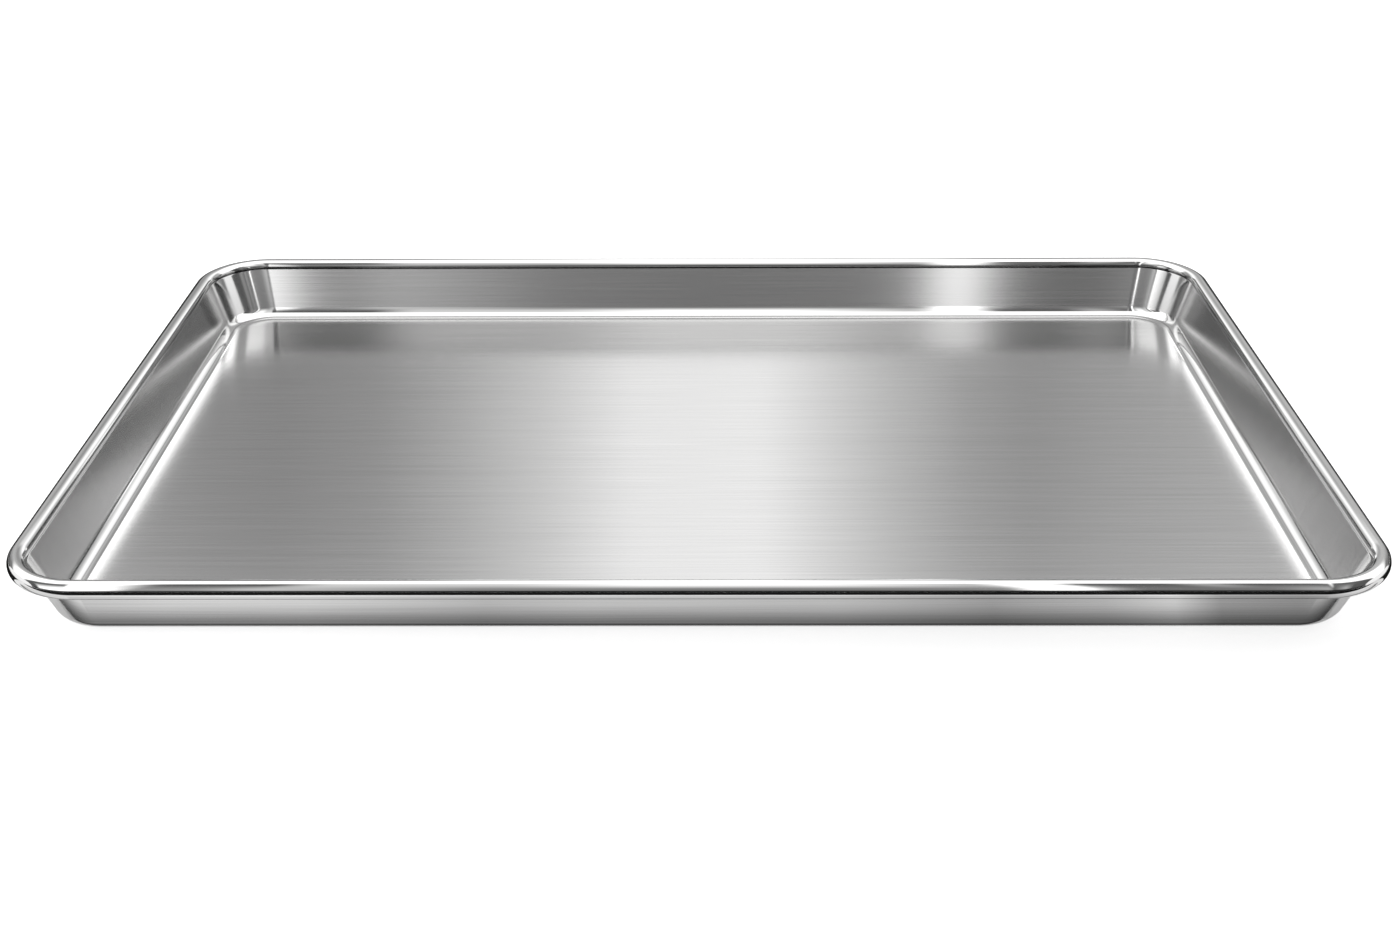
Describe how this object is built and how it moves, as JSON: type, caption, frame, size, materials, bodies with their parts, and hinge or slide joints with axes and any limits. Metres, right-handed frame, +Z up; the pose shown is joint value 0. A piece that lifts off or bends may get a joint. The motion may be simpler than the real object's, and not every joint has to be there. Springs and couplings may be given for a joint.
{
  "type": "jelly roll pan",
  "caption": "Shallow rectangular stainless steel baking pan with sloped walls, rounded corners and an edge rolled round a steel wire.",
  "frame": {"origin": "middle of the flat underside, on the surface that the pan rests on", "axes": "+Z up out of the pan; +X along its length; +Y along its width, away from the front long side"},
  "size_m": [0.3874, 0.254, 0.021],
  "materials": {
    "pan_steel": "brushed stainless steel, polished where it is bent",
    "wire_steel": "drawn steel wire"
  },
  "bodies": {
    "root": {"pan_body": "pan_steel", "rim_wire": "wire_steel"}
  },
  "joints": []
}
